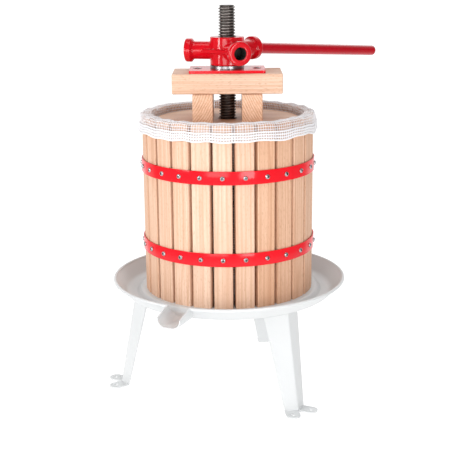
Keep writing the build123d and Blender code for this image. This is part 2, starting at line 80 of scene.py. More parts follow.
class Shader:
    """One material's node tree, built with short calls. A socket given as an input is linked."""

    def __init__(self, name, **sockets):
        self.material = bpy.data.materials.new(name)
        self.material.use_nodes = True
        self.tree = self.material.node_tree
        self.surface = self.tree.nodes["Principled BSDF"]
        self.coords = self.node("ShaderNodeTexCoord").outputs["Object"]
        self.set(**sockets)

    def put(self, socket, value):
        if isinstance(value, bpy.types.NodeSocket):
            self.tree.links.new(value, socket)
        else:
            socket.default_value = value

    def set(self, **sockets):
        for name, value in sockets.items():
            self.put(self.surface.inputs[name.replace("_", " ")], value)

    def node(self, kind, inputs=(), **props):
        made = self.tree.nodes.new(kind)
        for name, value in props.items():
            setattr(made, name, value)
        for name, value in dict(inputs).items():
            self.put(made.inputs[name], value)
        return made

    def noise(self, scale, detail=2.0, vector=None, stretch=(1, 1, 1), **more):
        """Noise whose features are about 1 / scale metres wide, longer where stretch is small."""
        vector = vector or self.coords
        if tuple(stretch) != (1, 1, 1):
            vector = self.node("ShaderNodeMapping", {"Vector": vector, "Scale": stretch}).outputs[0]
        inputs = {"Vector": vector, "Scale": scale, "Detail": detail, **more}
        return self.node("ShaderNodeTexNoise", inputs).outputs["Fac"]

    def math(self, operation, a, b=0.0, clamp=False):
        return self.node("ShaderNodeMath", {0: a, 1: b}, operation=operation, use_clamp=clamp).outputs[0]

    def remap(self, value, low, high, new_low, new_high):
        inputs = {"Value": value, "From Min": low, "From Max": high, "To Min": new_low, "To Max": new_high}
        return self.node("ShaderNodeMapRange", inputs).outputs[0]

    def blend(self, share, a, b):
        """Colour a where share is 0 and colour b where it is 1."""
        made = self.node("ShaderNodeMix", data_type="RGBA")
        self.put(made.inputs[0], share)
        self.put(made.inputs[6], a if isinstance(a, bpy.types.NodeSocket) else (*a, 1))
        self.put(made.inputs[7], b if isinstance(b, bpy.types.NodeSocket) else (*b, 1))
        return made.outputs[2]

    def ramp(self, value, *stops):
        """A grey ramp through (position, level) stops."""
        made = self.node("ShaderNodeValToRGB", {"Fac": value})
        elements = made.color_ramp.elements
        while len(elements) < len(stops):
            elements.new(0.5)
        for element, (position, level) in zip(elements, stops):
            element.position, element.color = position, (level, level, level, 1)
        return made.outputs["Color"]

    def bump(self, height, depth, strength=1.0, under=None):
        """Tilts the surface by a height from 0 to 1 that stands for depth metres."""
        made = self.node("ShaderNodeBump", {"Height": height, "Distance": depth, "Strength": strength})
        if under is not None:
            self.put(made.inputs["Normal"], under)
        self.set(Normal=made.outputs[0])
        return made.outputs[0]


def gloss_paint(name, colour, deep, roughness, peel, cast=0.0, gloss=0.3):
    """Sprayed gloss paint: a faint drift of colour, orange peel, and dust that dulls it in places.
    cast is the depth of the lumps of a casting under the paint."""
    s = Shader(name, Specular_IOR_Level=gloss)
    drift = s.noise(26, 3)
    speck = s.noise(900, 1)
    mottled = s.blend(s.remap(drift, 0.35, 0.65, 0, 0.5), colour, deep)
    s.set(Base_Color=s.blend(s.remap(speck, 0.66, 0.74, 0, 0.14), mottled, deep))
    s.set(Roughness=s.remap(s.noise(60, 4), 0.3, 0.7, roughness * 0.85, roughness * 1.25))
    under = s.bump(s.noise(330, 4), cast) if cast else None
    s.bump(s.noise(620, 1), peel, under=under)
    return s.material


def white_enamel():
    """Fired white enamel: nearly even, with a faint cloud, a few pinhole specks and drag marks that
    show in its gloss."""
    s = Shader("white_enamel", Specular_IOR_Level=0.3)
    cloud = s.remap(s.noise(9, 3), 0.35, 0.65, 0, 1)
    base = s.blend(cloud, (0.635, 0.645, 0.648), (0.61, 0.622, 0.628))
    speck = s.ramp(s.noise(650, 1), (0.76, 0), (0.82, 0.3))
    s.set(Base_Color=s.blend(speck, base, (0.42, 0.41, 0.40)))
    s.set(Roughness=s.remap(s.noise(90, 4, stretch=(1, 1, 0.3)), 0.3, 0.7, 0.34, 0.39))
    s.bump(s.noise(160, 1), 0.000004)
    return s.material


def zinc(name="zinc_steel", tone=0.62):
    """Zinc plate: a soft crystal spangle, fine scratches and a little dulling."""
    s = Shader(name, Metallic=1.0)
    cells = s.node("ShaderNodeTexVoronoi", {"Vector": s.coords, "Scale": 420.0}).outputs["Color"]
    spangle = s.math("MULTIPLY", cells, 0.35)
    bright, darker_zinc = (tone, tone * 1.005, tone * 1.03), (tone * 0.72, tone * 0.73, tone * 0.77)
    s.set(Base_Color=s.blend(spangle, bright, darker_zinc))
    scratches = s.noise(300, 5, stretch=(1, 8, 1))
    s.set(Roughness=s.remap(scratches, 0.3, 0.7, 0.24, 0.42))
    s.bump(scratches, 0.00002)
    return s.material


def oiled_steel():
    """Rolled thread, dark with oil: near-black painted shade in the roots, rubbed brighter crests, and
    the stretch that the hub runs over darker, partly with more oil and partly as painted shade."""
    s = Shader("oiled_steel", Metallic=0.85)
    patch = s.remap(s.noise(70, 5), 0.35, 0.65, 0, 1)
    streak = s.noise(900, 3, stretch=(1, 1, 0.2))
    base = s.blend(patch, (0.36, 0.33, 0.31), (0.24, 0.215, 0.20))
    base = s.blend(s.remap(streak, 0.55, 0.75, 0, 0.5), base, (0.62, 0.59, 0.57))
    split = s.node("ShaderNodeSeparateXYZ", {"Vector": s.coords})
    level = s.node("ShaderNodeVectorMath", {0: s.coords, 1: (1, 1, 0)}, operation="MULTIPLY").outputs[0]
    reach = s.node("ShaderNodeVectorMath", {0: level}, operation="LENGTH").outputs["Value"]
    # the roots between the crests coloured near-black: painted shade in the thread's hollows
    root_shade = s.ramp(s.remap(reach, 9.8 * MM, 12 * MM, 0, 1), (0.1, 1), (0.85, 0))
    base = s.blend(s.math("MULTIPLY", root_shade, 0.85), base, (0.030, 0.021, 0.018))
    # darker from the crossbeam down: partly more oil, partly painted shade under the hub and crossbeam
    low_oil_and_shade = s.remap(split.outputs["Z"], 0.435, 0.47, 0.62, 0)
    oil_and_shade = s.math("ADD", low_oil_and_shade, s.remap(patch, 0, 1, -0.1, 0.1), clamp=True)
    s.set(Base_Color=s.blend(oil_and_shade, base, (0.040, 0.026, 0.022)))
    s.set(Roughness=s.remap(s.noise(200, 4), 0.3, 0.7, 0.3, 0.5))
    s.bump(s.noise(1200, 3), 0.00005)
    return s.material


def shade_black(name):
    """Bare metal coloured near-black for a bore, a screw's recess or a countersink's gap: painted shade in
    these hollows, with dust in it.
    """
    s = Shader(name, Specular_IOR_Level=0.12)
    dust = s.remap(s.noise(900, 4), 0.35, 0.7, 0, 0.5)
    s.set(Base_Color=s.blend(dust, (0.035, 0.032, 0.030), (0.10, 0.085, 0.075)))
    s.set(Roughness=s.remap(s.noise(500, 3), 0.3, 0.7, 0.6, 0.85))
    s.bump(s.noise(1500, 2), 0.00004)
    return s.material


def mesh_cloth(name, roughness=0.55):
    """White synthetic thread: fine twisted filaments with a soft sheen. Its colour is one value, so that
    the dense net needs no baked picture."""
    s = Shader(name, Base_Color=(0.80, 0.79, 0.81, 1), Sheen_Weight=0.2, Sheen_Roughness=0.4)
    s.set(Subsurface_Weight=0.0, IOR=1.5)
    twist = s.noise(2600, 2, stretch=(1, 1, 0.4))
    s.set(Roughness=s.remap(twist, 0.3, 0.7, roughness - 0.1, roughness + 0.12))
    s.bump(twist, 0.00012)
    return s.material


def beech(name, grain, across, pith, seed, rings=0.5, ring=2.8 * MM, shade=1.0, warm=0.0,
          late_wood=(0.52, 0.265, 0.15)):
    """Solid beech, cut from a log: grain is the way its fibres run and across one way across them, in
    the object's frame. pith is where the log's middle lies from the origin along across and along the
    third way, in metres, so end grain and faces agree wherever they meet."""
    s = Shader(name)
    w = Vector(grain).normalized()
    u = (Vector(across) - w * Vector(across).dot(w)).normalized()
    turned = Matrix((u, w.cross(u), w)).to_euler()
    place = (-pith[0], -pith[1], 0.37 * seed)
    inputs = {"Vector": s.coords, "Rotation": turned, "Location": place}
    log = s.node("ShaderNodeMapping", inputs).outputs[0]

    # growth rings: distance from the pith, bent by slow noise that runs far along the log
    bend = s.node("ShaderNodeTexNoise", {
        "Vector": s.node("ShaderNodeMapping", {"Vector": log, "Scale": (1, 1, 0.1)}).outputs[0],
        "Scale": 34.0, "Detail": 2.0}).outputs["Color"]
    centred = s.node("ShaderNodeVectorMath", {0: bend, 1: (0.5, 0.5, 0.5)}, operation="SUBTRACT").outputs[0]
    pushed = s.node("ShaderNodeVectorMath", {0: centred, 1: (0.0075, 0.0075, 0), 2: log},
                    operation="MULTIPLY_ADD").outputs[0]
    flat = s.node("ShaderNodeVectorMath", {0: pushed, 1: (1, 1, 0)}, operation="MULTIPLY").outputs[0]
    radius = s.node("ShaderNodeVectorMath", {0: flat}, operation="LENGTH").outputs["Value"]
    phase = s.math("FRACT", s.math("DIVIDE", radius, ring))
    late = s.ramp(phase, (0.0, 0.05), (0.45, 0.12), (0.82, 1.0), (1.0, 0.0))
    uneven = s.remap(s.noise(120, 2, log, (1, 1, 0.05)), 0.3, 0.7, 0.45, 1.0)
    late = s.math("MULTIPLY", s.math("MULTIPLY", late, uneven), rings)

    # fibres, the short dark flecks of beech, and slow drifts of tone
    fibre = s.noise(1500, 4, log, (1, 1, 0.035))
    fleck = s.ramp(s.noise(1150, 1, log, (1, 0.6, 0.16)), (0.60, 0), (0.69, 1))
    cloud = s.remap(s.noise(30, 3, log, (1, 1, 0.25)), 0.35, 0.65, 0, 1)
    def tone(r, g, b):
        return (r * shade, g * shade * (1 - 0.07 * warm), b * shade * (1 - 0.13 * warm))
    streak = s.noise(330, 3, log, (1, 1, 0.012))
    base = s.blend(cloud, tone(0.77, 0.555, 0.425), tone(0.73, 0.50, 0.365))
    base = s.blend(late, base, tone(*late_wood))
    base = s.blend(s.remap(streak, 0.46, 0.66, 0, 0.75), base, tone(0.58, 0.335, 0.215))
    base = s.blend(s.remap(fibre, 0.35, 0.7, 0, 0.4), base, tone(0.60, 0.36, 0.23))
    base = s.blend(s.math("MULTIPLY", fleck, 0.4), base, tone(0.42, 0.22, 0.12))
    s.set(Base_Color=base)
    s.set(Roughness=s.remap(fibre, 0.3, 0.7, 0.46, 0.62))
    s.bump(s.math("ADD", s.math("MULTIPLY", fibre, 0.7), s.math("MULTIPLY", late, 0.3)), 0.00007)
    return s.material


def paint(node, material):
    """Gives a CAD node this one material."""
    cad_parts[node].data.materials.clear()
    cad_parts[node].data.materials.append(material)


# ---------------------------------------------------------------- mesh helpers


def mesh_object(name, points, faces, material, smooth=True):
    """An object from an array of points and a list of faces."""
    data = bpy.data.meshes.new(name)
    data.from_pydata(np.asarray(points).tolist(), [], [list(f) for f in faces])
    data.validate()
    data.polygons.foreach_set("use_smooth", [smooth] * len(data.polygons))
    data.materials.append(material)
    made = bpy.data.objects.new(name, data)
    bpy.context.scene.collection.objects.link(made)
    return made


def joined(parts):
    """Several (points, faces) pairs as one."""
    points, faces, start = [], [], 0
    for p, f in parts:
        points.append(np.asarray(p, float))
        faces += [[i + start for i in face] for face in f]
        start += len(p)
    return np.concatenate(points), faces


def attach(piece, body, slot, *nodes):
    """Makes a piece ride on a body and stand for these CAD nodes, which it hides. slot is not used."""
    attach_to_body(piece, body)
    if nodes:
        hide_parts(*nodes)
    return piece


def lathe(profile, steps):
    """A solid turned about Z, from its profile's (radius, height) points. It closes on the axis at
    points of radius 0, and is a ring if it has none and ends where it starts."""
    profile = np.asarray(profile, float)
    ring = profile[0, 0] > 0 and profile[-1, 0] > 0
    turn = np.arange(steps) * TURN / steps
    points, rows = [], []
    for r, z in profile:
        if r == 0:
            rows.append([len(points)] * steps)
            points.append((0, 0, z))
        else:
            rows.append(list(range(len(points), len(points) + steps)))
            points += [(r * math.cos(t), r * math.sin(t), z) for t in turn]
    faces = []
    for a, b in zip(rows, rows[1:] + rows[:1] if ring else rows[1:]):
        for i in range(steps):
            j = (i + 1) % steps
            face = [a[i], a[j], b[j], b[i]]
            faces.append([v for k, v in enumerate(face) if v != face[k - 1]])
    return np.array(points), faces


def evaluated(piece):
    """Applies an object's modifiers to its mesh."""
    bpy.context.view_layer.update()
    seen = piece.evaluated_get(bpy.context.evaluated_depsgraph_get())
    data = bpy.data.meshes.new_from_object(seen)
    piece.modifiers.clear()
    old, piece.data = piece.data, data
    bpy.data.meshes.remove(old)
    return piece


def unit(v):
    return v / np.maximum(np.linalg.norm(v, axis=-1, keepdims=True), 1e-12)


# ---------------------------------------------------------------- steel


def spindle(material):
    """The spindle with its right-hand thread: a helical grid of trapezoid flanks, chamfered at both ends."""
    low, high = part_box("spindle")
    z0, z1, crest = low.z, high.z, high.x
    pitch, root, chamfer, steps = 4 * MM, crest - 2.15 * MM, 2.4 * MM, 48
    # along one pitch: (share of the pitch, radius)
    flank = [(0.0, root), (0.16, root), (0.38, crest - 0.12 * MM), (0.44, crest), (0.60, crest),
             (0.66, crest - 0.12 * MM), (0.88, root)]
    turns = int((z1 - z0) / pitch) + 3
    rows = [(t + share, r) for t in range(-1, turns) for share, r in flank]
    share, radius = (np.array(x)[:, None] for x in zip(*rows))
    i = np.arange(steps + 1)[None, :]
    raw = z0 + pitch * (share + i / steps)
    height = np.clip(raw, z0, z1)
    limit = np.minimum(crest, root - 0.2 * MM + np.minimum(z1 - height, height - z0)
                       * (crest - root + 0.2 * MM) / chamfer)
    reach = np.minimum(radius, limit)
    angle = TURN * i / steps
    # the last column is the first one, a whole pitch further up
    grid = np.stack([reach * np.cos(angle), reach * np.sin(angle), height], axis=-1)
    per = len(flank)
    n = len(rows)
    faces = []
    for r in range(n - 1):
        for c in range(steps):
            a, b = (r, c), (r, c + 1)
            d, e = (r + 1, c), (r + 1, c + 1)
            if raw[e] < z0 or raw[a] > z1:
                continue
            quad = []
            for row, col in (a, b, e, d):
                if col == steps:
                    row, col = row + per, 0
                quad.append((row, col))
            if all(row < n for row, col in quad):
                faces.append([row * steps + col for row, col in quad])
    points = grid[:, :steps].reshape(-1, 3)
    piece = mesh_object("spindle_threaded", points, faces, material)
    bm = bmesh.new()
    bm.from_mesh(piece.data)
    bmesh.ops.remove_doubles(bm, verts=bm.verts, dist=0.00003)
    bmesh.ops.dissolve_degenerate(bm, edges=bm.edges, dist=0.00001)
    bmesh.ops.delete(bm, geom=[v for v in bm.verts if not v.link_faces], context="VERTS")
    bmesh.ops.holes_fill(bm, edges=[e for e in bm.edges if e.is_boundary], sides=0)
    bmesh.ops.recalc_face_normals(bm, faces=bm.faces)
    bm.to_mesh(piece.data)
    bm.free()
    piece.data.polygons.foreach_set("use_smooth", [True] * len(piece.data.polygons))
    piece.data.set_sharp_from_angle(angle=math.radians(38))
    attach(piece, "stand", "oiled_steel", "spindle")


def cross_head(radius, height):
    """A pan head with a cross recess, standing on z = 0 and facing +Z."""
    dome = [(across * radius, up * height) for across, up in
            ((0, 1), (0.35, 0.985), (0.62, 0.91), (0.84, 0.73), (0.96, 0.47), (1, 0.2), (1, 0), (0, 0))]
    head = mesh_object("head", *lathe(dome[::-1], 28), None)
    arm, wide = 0.62 * radius, 0.19 * radius
    cutters = []
    for turn in (0, 90):
        spin = Matrix.Rotation(math.radians(turn + 20), 3, "Z")
        top, low = 1.2 * height, 0.25 * height
        corners = [spin @ Vector((sx * x, sy * y, z))
                   for x, y, z in ((0.6 * arm, 0.8 * wide, low), (arm, wide, top))
                   for sx, sy in ((-1, -1), (1, -1), (1, 1), (-1, 1))]
        faces = [(3, 2, 1, 0), (4, 5, 6, 7), (0, 1, 5, 4), (1, 2, 6, 5), (2, 3, 7, 6), (3, 0, 4, 7)]
        cutter = mesh_object("cutter", [tuple(c) for c in corners], faces, None, smooth=False)
        cut = head.modifiers.new("cut", "BOOLEAN")
        cut.object, cut.operation, cut.solver = cutter, "DIFFERENCE", "EXACT"
        cutters.append(cutter)
    evaluated(head)
    points = np.array([v.co for v in head.data.vertices])
    faces = [list(p.vertices) for p in head.data.polygons]
    middles = np.array([p.center for p in head.data.polygons])
    surface = np.interp(np.hypot(middles[:, 0], middles[:, 1]), *zip(*dome[:-2]))
    # faces inside the cross recess: they take the near-black material, a painted shade
    recess = (middles[:, 2] < surface - 0.08 * height) & (middles[:, 2] > 0.1 * height)
    recess &= np.hypot(middles[:, 0], middles[:, 1]) < 0.7 * radius
    for o in (head, *cutters):
        bpy.data.objects.remove(o)
    return (points, faces), recess.tolist()


def placed(shape, matrix):
    """A (points, faces) pair, moved by a 4x4 matrix."""
    m = np.array(matrix)
    return shape[0] @ m[:3, :3].T + m[:3, 3], shape[1]


def screw_piece(name, parts, dark_faces, material, dark):
    """One object from many screws, with the faces of their recesses in the near-black material that paints
    their shade.
    """
    piece = mesh_object(name, *joined(parts), material)
    piece.data.materials.append(dark)
    if len(piece.data.polygons) != len(dark_faces):
        raise ValueError(f"{name} has {len(piece.data.polygons)} faces, not {len(dark_faces)}")
    piece.data.polygons.foreach_set("material_index", [int(d) for d in dark_faces])
    piece.data.set_sharp_from_angle(angle=math.radians(42))
    return piece


def screws(material, plate_material, dark):
    """Cross-head screws in both hoops and in the bearing plate, each turned its own way."""
    draw = np.random.default_rng(11)
    head, recess = cross_head(3.3 * MM, 2.2 * MM)
    shank = lathe([(0, -9 * MM), (1.8 * MM, -8.4 * MM), (1.8 * MM, 0.02 * MM), (0, 0.02 * MM)], 16)
    for hoop in ("hoop_top", "hoop_bottom"):
        low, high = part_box(hoop)
        parts, dark_faces = [], []
        for k in range(SLATS):
            angle = FIRST_SLAT + k * 360 / SLATS
            out = outward(angle)
            stand = Matrix((along(angle), Vector((0, 0, 1)), out)).transposed().to_4x4()
            stand.translation = out * (high.x + 0.02 * MM) + Vector((0, 0, (low.z + high.z) / 2))
            turned = stand @ Matrix.Rotation(draw.uniform(0, TURN), 4, "Z")
            parts += [placed(head, turned), placed(shank, stand)]
            dark_faces += recess + [False] * len(shank[1])
        piece = screw_piece(hoop + "_screw_heads", parts, dark_faces, material, dark)
        attach(piece, "basket", "zinc_steel", hoop + "_screws")
    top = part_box("bearing_plate")[1].z
    flat, recess = cross_head(5.0 * MM, 1.3 * MM)
    # a near-black ring round each head for the countersink's gap: a painted shadow where the gap would be
    gap = lathe([(r * MM, z * MM) for r, z in ((4.7, -0.4), (6.3, 0.05), (6.2, 0.14), (4.7, 0.14))], 40)
    parts, dark_faces = [], []
    for side in (-1, 1):
        spot = Matrix.Translation(along(STACK_TURN) * side * PLATE_SCREW_OFFSET + Vector((0, 0, top)))
        sunk = Matrix.Translation((0, 0, -0.25 * MM)) @ Matrix.Rotation(draw.uniform(0, TURN), 4, "Z")
        parts += [placed(flat, spot @ sunk), placed(gap, spot)]
        dark_faces += recess + [True] * len(gap[1])
    piece = screw_piece("plate_screw_heads", parts, dark_faces, plate_material, dark)
    attach(piece, "press_stack", "zinc_steel", "plate_screws")


def hoop(name, material):
    """A band of flat steel with rolled edges, drawn in a little at each screw, with a welded seam at
    the back."""
    low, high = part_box(name)
    outer, sheet, edge = high.x, 1.8 * MM, 0.55 * MM
    z0, z1 = low.z, high.z
    section = []
    for cx, cz, start in ((outer - edge, z0 + edge, -90), (outer - edge, z1 - edge, 0),
                          (outer - sheet + edge, z1 - edge, 90), (outer - sheet + edge, z0 + edge, 180)):
        for step in range(4):
            a = math.radians(start + step * 30)
            section.append((cx + edge * math.cos(a), cz + edge * math.sin(a)))
        if start in (-90, 90):  # middle of a flat side, so that the band can bow
            section.append((cx + (edge if start < 0 else -edge), (z0 + z1) / 2))
    points, faces = lathe(section, 500)
    angle = np.degrees(np.arctan2(points[:, 0], -points[:, 1]))
    drawn = 0.12 * MM * np.cos(np.radians((angle - FIRST_SLAT) * SLATS))
    seam = (angle - 190 + 540) % 360 - 180
    weld = 0.35 * MM * np.exp(-(seam / 0.55) ** 2)
    outside = np.hypot(points[:, 0], points[:, 1]) > outer - sheet / 2
    points[:, :2] *= (1 + (weld * outside - drawn) / outer)[:, None]
    piece = mesh_object(name + "_band", points, [f[::-1] for f in faces], material)
    piece.data.set_sharp_from_angle(angle=math.radians(60))
    attach(piece, "basket", "red_paint", name)


def hub(material, bore_shade):
    """The cast hub: its CAD shape with the soft fillets and edges that a sand casting has."""
    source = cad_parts["hub"]
    piece = bpy.data.objects.new("hub_casting", source.data.copy())
    bpy.context.scene.collection.objects.link(piece)
    piece.data.materials.clear()
    piece.data.materials.append(material)
    remesh = piece.modifiers.new("remesh", "REMESH")
    remesh.mode, remesh.voxel_size, remesh.use_smooth_shade = "VOXEL", 0.75 * MM, True
    soft = piece.modifiers.new("soft", "SMOOTH")
    soft.factor, soft.iterations = 0.5, 3
    evaluated(piece)
    # the sockets and the threaded bore take the near-black material inside: painted shade in these hollows
    piece.data.materials.append(bore_shade)
    middle = np.empty(len(piece.data.polygons) * 3)
    facing = middle.copy()
    piece.data.polygons.foreach_get("center", middle)
    piece.data.polygons.foreach_get("normal", facing)
    middle, facing = middle.reshape(-1, 3), facing.reshape(-1, 3)
    index = (np.hypot(middle[:, 0], middle[:, 1]) < 12.9 * MM).astype(np.int32)
    for turn in SOCKET_TURNS:
        out, side = np.array(outward(turn)), np.array(along(turn))
        reach, across, up = middle @ out, middle @ side, middle[:, 2] - ARM_Z
        off = np.hypot(across, up)
        inward = (facing @ side) * across + facing[:, 2] * up < 0
        socket = (reach > ARM_END - SOCKET_DEPTH) & (reach < ARM_END - 0.8 * MM)
        index |= socket & (off < 9.2 * MM) & (inward | (off < 8.2 * MM))
    piece.data.polygons.foreach_set("material_index", index)
    attach(piece, "hub", "red_cast_iron", "hub")


# ---------------------------------------------------------------- bag


def thread(path, normal, half_width, half_thick, sides=4, closed=False):
    """Points and faces of one thread along a path, flattened across its normal."""
    if closed:
        ahead = np.roll(path, -1, 0) - np.roll(path, 1, 0)
    else:
        ahead = np.gradient(path, axis=0)
    across = unit(np.cross(normal, unit(ahead)))
    turn = np.arange(sides) * TURN / sides
    ring = (path[:, None] + half_width * np.cos(turn)[None, :, None] * across[:, None]
            + half_thick * np.sin(turn)[None, :, None] * normal[:, None])
    count = len(path)
    i = np.arange(count if closed else count - 1)[:, None] * sides
    a = i + np.arange(sides)[None, :]
    b = i + (np.arange(sides)[None, :] + 1) % sides
    total = count * sides
    faces = np.stack([a, b, (b + sides) % total, (a + sides) % total], axis=-1).reshape(-1, 4).tolist()
    if not closed:
        faces += [list(range(sides))[::-1], list(range(total - sides, total))]
    return ring.reshape(-1, 3), faces


def weave(points, half_width, half_thick, sides=4, lift=0.3 * MM, first=0):
    """Warp and weft threads over a grid of points (rows, columns, 3) that closes round its columns.
    Each thread goes over and under the ones that cross it."""
    down = np.gradient(points, axis=0)
    round_it = np.roll(points, -1, 1) - np.roll(points, 1, 1)
    normal = unit(np.cross(round_it, down))
    rows, columns = points.shape[:2]
    over = (-1.0) ** (np.add.outer(np.arange(rows) + first, np.arange(columns)))[..., None] * lift
    parts = [thread(points[:, c] + normal[:, c] * over[:, c], normal[:, c], half_width, half_thick, sides)
             for c in range(columns)]
    parts += [thread(points[r] - normal[r] * over[r], normal[r], half_width, half_thick, sides, closed=True)
              for r in range(rows)]
    return joined(parts)


def ripple(seed, low, high, count):
    """A smooth random wave round the basket, about 1 high: a function of angle and of a second number
    that shifts it."""
    draw = np.random.default_rng(seed)
    terms = [(draw.integers(low, high), draw.uniform(0, TURN), draw.uniform(-1.5, 1.5), draw.uniform(0.5, 1))
             for _ in range(count)]
    scale = sum(t[3] for t in terms) * 0.6
    return lambda angle, shift=0.0: sum(a * np.sin(k * angle + p + q * shift) for k, p, q, a in terms) / scale


BAG_COLUMNS = 218
BAG_PITCH = 3.6 * MM
HEM_ROWS = 3


def bag_profile():
    """(radius, height) of the bag from its outer hem, over the slats' tops and down inside to its floor,
    one point a row."""
    corners = np.array([(127.4, 384.7), (127.0, 390.2), (126.4, 396.0), (125.7, 402.0), (124.9, 405.2),
                        (123.2, 407.0), (120.5, 407.5), (114.5, 407.3), (110.6, 407.0), (108.8, 405.6),
                        (107.8, 402.5), (107.0, 396.0), (107.0, 300.0), (107.0, 200.0), (107.0, 160.0),
                        (106.2, 156.6), (103.6, 155.2)]) * MM
    run = np.concatenate([[0], np.cumsum(np.linalg.norm(np.diff(corners, axis=0), axis=1))])
    rows = int(round(run[-1] / BAG_PITCH))
    at = np.linspace(0, run[-1], rows + 1)
    return np.stack([np.interp(at, run, corners[:, k]) for k in (0, 1)], axis=1)


def bag_grid():
    """The bag's knots in space (rows, columns, 3): gathered cloth that ripples, sags between the slats'
    tops and is pressed against the slats inside."""
    profile = bag_profile()
    radius, height = profile[:, :1], profile[:, 1:]
    column = np.arange(BAG_COLUMNS)[None, :] * TURN / BAG_COLUMNS
    slow, fast = ripple(1, 3, 9, 5), ripple(2, 14, 34, 7)
    edge, fold = ripple(3, 9, 24, 8), ripple(4, 9, 26, 8)
    skew = ripple(5, 2, 7, 4)
    level = height / (60 * MM)
    angle = column + 0.006 * skew(column, level)
    gap = np.cos((np.degrees(angle) - FIRST_SLAT) * math.radians(SLATS))  # 1 on a slat, -1 in a gap
    outside = np.clip((radius - 116 * MM) / (8 * MM), 0, 1)
    inside = np.clip((112 * MM - radius) / (4 * MM), 0, 1)
    top = np.clip(1 - np.abs(height - 407 * MM) / (7 * MM), 0, 1)
    hang = np.clip((407 * MM - height) / (24 * MM), 0, 1) * outside
    grown = radius + outside * hang * (0.75 * MM * slow(angle) + 1.0 * MM * fast(angle, level) + 0.5 * MM)
    grown = grown + inside * (0.55 * MM * fold(angle, level) - 0.45 * MM * gap * (height < 0.375) - 0.2 * MM)
    crest = 0.55 * MM * (gap - 1) + 0.9 * MM * (1 + edge(angle))
    raised = height + top * crest + hang * 2.7 * MM * edge(angle, 0.5)
    points = np.stack([grown * np.sin(angle), -grown * np.cos(angle), raised], axis=-1)
    return points, profile


def bag(material, hem_material):
    """The mesh bag: a gathered cuff turned down over the slats, its doubled hem, the lining in two
    halves and a floor with a hole for the spindle."""
    points, profile = bag_grid()
    rim = int(np.argmax(profile[:, 0] < 108.5 * MM))  # first row inside the basket
    half = (rim + len(profile)) // 2
    thin = dict(half_width=0.42 * MM, half_thick=0.44 * MM)
    spans = {"bag_cuff": (HEM_ROWS, rim, 6), "bag_lining_upper": (rim, half, 4),
             "bag_lining_lower": (half, len(profile) - 1, 4)}
    for name, (a, b, sides) in spans.items():
        shape = weave(points[a:b + 1], sides=sides, first=a, **thin)
        attach(mesh_object(name, *shape, material), "basket", "white_mesh")
    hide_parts("filter_bag")

    hem = hem_grid(points)
    attach(mesh_object("bag_hem", *hem, hem_material), "basket", "white_mesh")
    attach(mesh_object("bag_floor", *bag_floor(), material), "basket", "white_mesh")


def hem_grid(points):
    """The hem: the mesh turned back on itself, so two layers of its flattened threads, with a stitched
    thread along each edge."""
    band = points[:HEM_ROWS + 1]
    centre = np.array([0, 0, 1.0])
    out = unit(band * (1 - centre))
    columns = band.shape[1]
    layers = []
    for shift, lift in ((0.0, 0.35 * MM), (0.1, -0.35 * MM)):
        moved = band * (1 - shift) + np.roll(band, -1, 1) * shift + out * lift
        if shift:
            moved[:, :, 2] += 0.35 * MM
        layers.append(weave(moved, half_width=0.86 * MM, half_thick=0.34 * MM, sides=6, lift=0.12 * MM))
    for row, drop in ((0, -0.5 * MM), (HEM_ROWS, 0.5 * MM)):
        line = band[row] + out[row] * 0.45 * MM
        line[:, 2] += drop
        wave = (np.arange(columns) % 2 * 2 - 1)[:, None] * 0.22 * MM
        layers.append(thread(line + out[row] * wave, out[row], 0.85 * MM, 0.6 * MM, 6, closed=True))
    return joined(layers)


def bag_floor():
    """The bag's floor: straight threads both ways across a disc, with a bound hole round the spindle."""
    reach, hole, height = 103.8 * MM, 26.5 * MM, 154.9 * MM
    step = 3.2 * MM
    count = int(reach / step)
    up = np.array([0, 0, 1.0])
    parts = []
    sag = ripple(8, 2, 6, 4)
    for way in (0, 1):
        for k in range(-count, count + 1):
            x = k * step
            far = math.sqrt(reach ** 2 - x ** 2)
            near = math.sqrt(hole ** 2 - x ** 2) if abs(x) < hole else 0
            spans = [(-far, -near), (near, far)] if near else [(-far, far)]
            for a, b in spans:
                n = max(3, int((b - a) / step) + 1)
                y = np.linspace(a, b, n)
                line = np.stack([np.full(n, x), y] if way else [y, np.full(n, x)], axis=1)
                lift = (-1.0) ** (np.arange(n) + k + way) * 0.25 * MM
                wave = 0.25 * MM * sag(np.arctan2(line[:, 0], -line[:, 1]))
                path = np.column_stack([line, height + lift + wave])
                parts.append(thread(path, np.tile(up, (n, 1)), 0.44 * MM, 0.4 * MM))
    for r, wide in ((hole, 1.3 * MM), (reach, 1.1 * MM)):
        a = np.linspace(0, TURN, 180, endpoint=False)
        ring = np.stack([r * np.sin(a), -r * np.cos(a), np.full(180, height)], axis=1)
        parts.append(thread(ring, np.tile(up, (180, 1)), wide, 0.55 * MM, 6, closed=True))
    return joined(parts)


# ---------------------------------------------------------------- wood and the rest of the frame


# boards that stand out from the rest: number from 0: (shade, warm). The right-hand ones (1 to 5) are
# darker and warmer and the left-hand ones (21 to 24) paler: partly each board's own tone, partly
# painted shade on the right and painted light on the left.
BOARD_TONES_AND_LIGHT = {0: (1.02, -0.2), 1: (0.99, 0.4), 2: (0.94, 1.7), 3: (0.94, 1.3), 4: (0.98, 0.9), 5: (0.93, 1.3),
          21: (1.0, 0.6), 22: (0.97, 0.4), 23: (1.0, 0.1), 24: (1.02, -0.3)}


